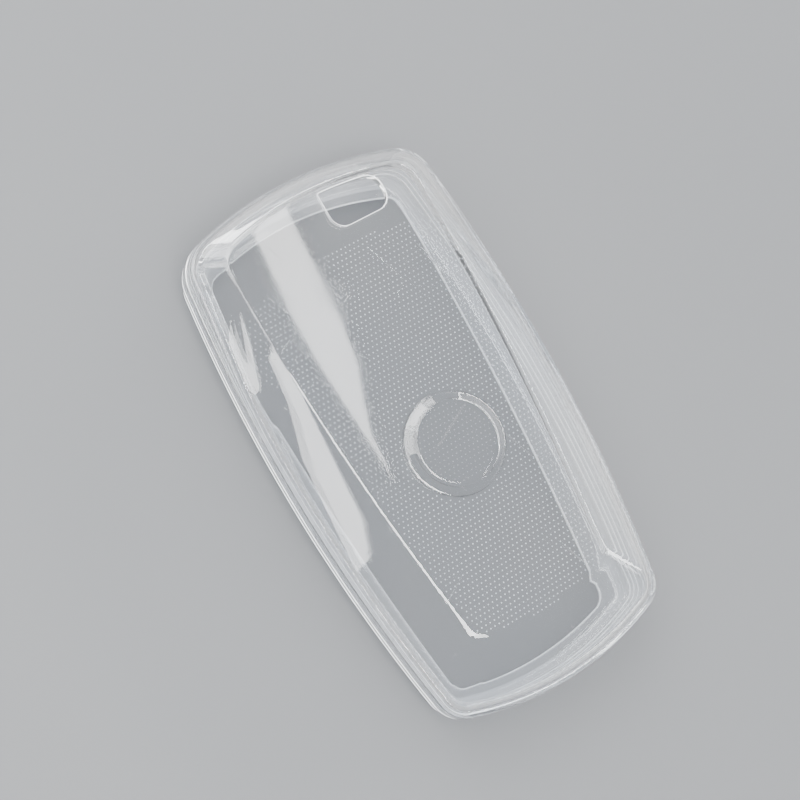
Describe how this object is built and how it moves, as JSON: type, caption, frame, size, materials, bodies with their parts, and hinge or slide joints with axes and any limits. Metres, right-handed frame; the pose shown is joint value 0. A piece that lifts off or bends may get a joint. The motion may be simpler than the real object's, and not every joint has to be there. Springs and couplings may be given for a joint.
{
  "type": "key fob cover",
  "caption": "Clear moulded cover for a car key fob: dotted front panel with a raised press pad, sloping sides, a keyring opening and an open back with a holding flange",
  "frame": {"origin": "on the plane of the back face, under the middle of the cover", "axes": "+Y points to the keyring end, +Z out of the front panel, +X across the cover to the side that has the keyring opening"},
  "size_m": [0.0452, 0.084, 0.0169],
  "materials": {
    "clear_frame": "clear soft plastic, polished",
    "clear_shell": "clear soft plastic, polished, with fine dots moulded inside the panel",
    "clear_pad": "clear soft plastic, polished"
  },
  "bodies": {
    "frame": {"back_frame": "clear_frame"},
    "shell": {"front_shell": "clear_shell", "pad_skirt": "clear_pad"},
    "button": {"button_pad": "clear_pad"}
  },
  "joints": [
    {"name": "shell_lift", "type": "slide", "parent": "frame", "child": "shell", "axis": [0, 0, 1], "range_m": [0, 0.025]},
    {"name": "pad_press", "type": "slide", "parent": "shell", "child": "button", "axis": [0, 0, -1], "range_m": [0, 0.0006], "stiffness_N_per_m": 1000, "deforming": ["pad_skirt"]}
  ]
}
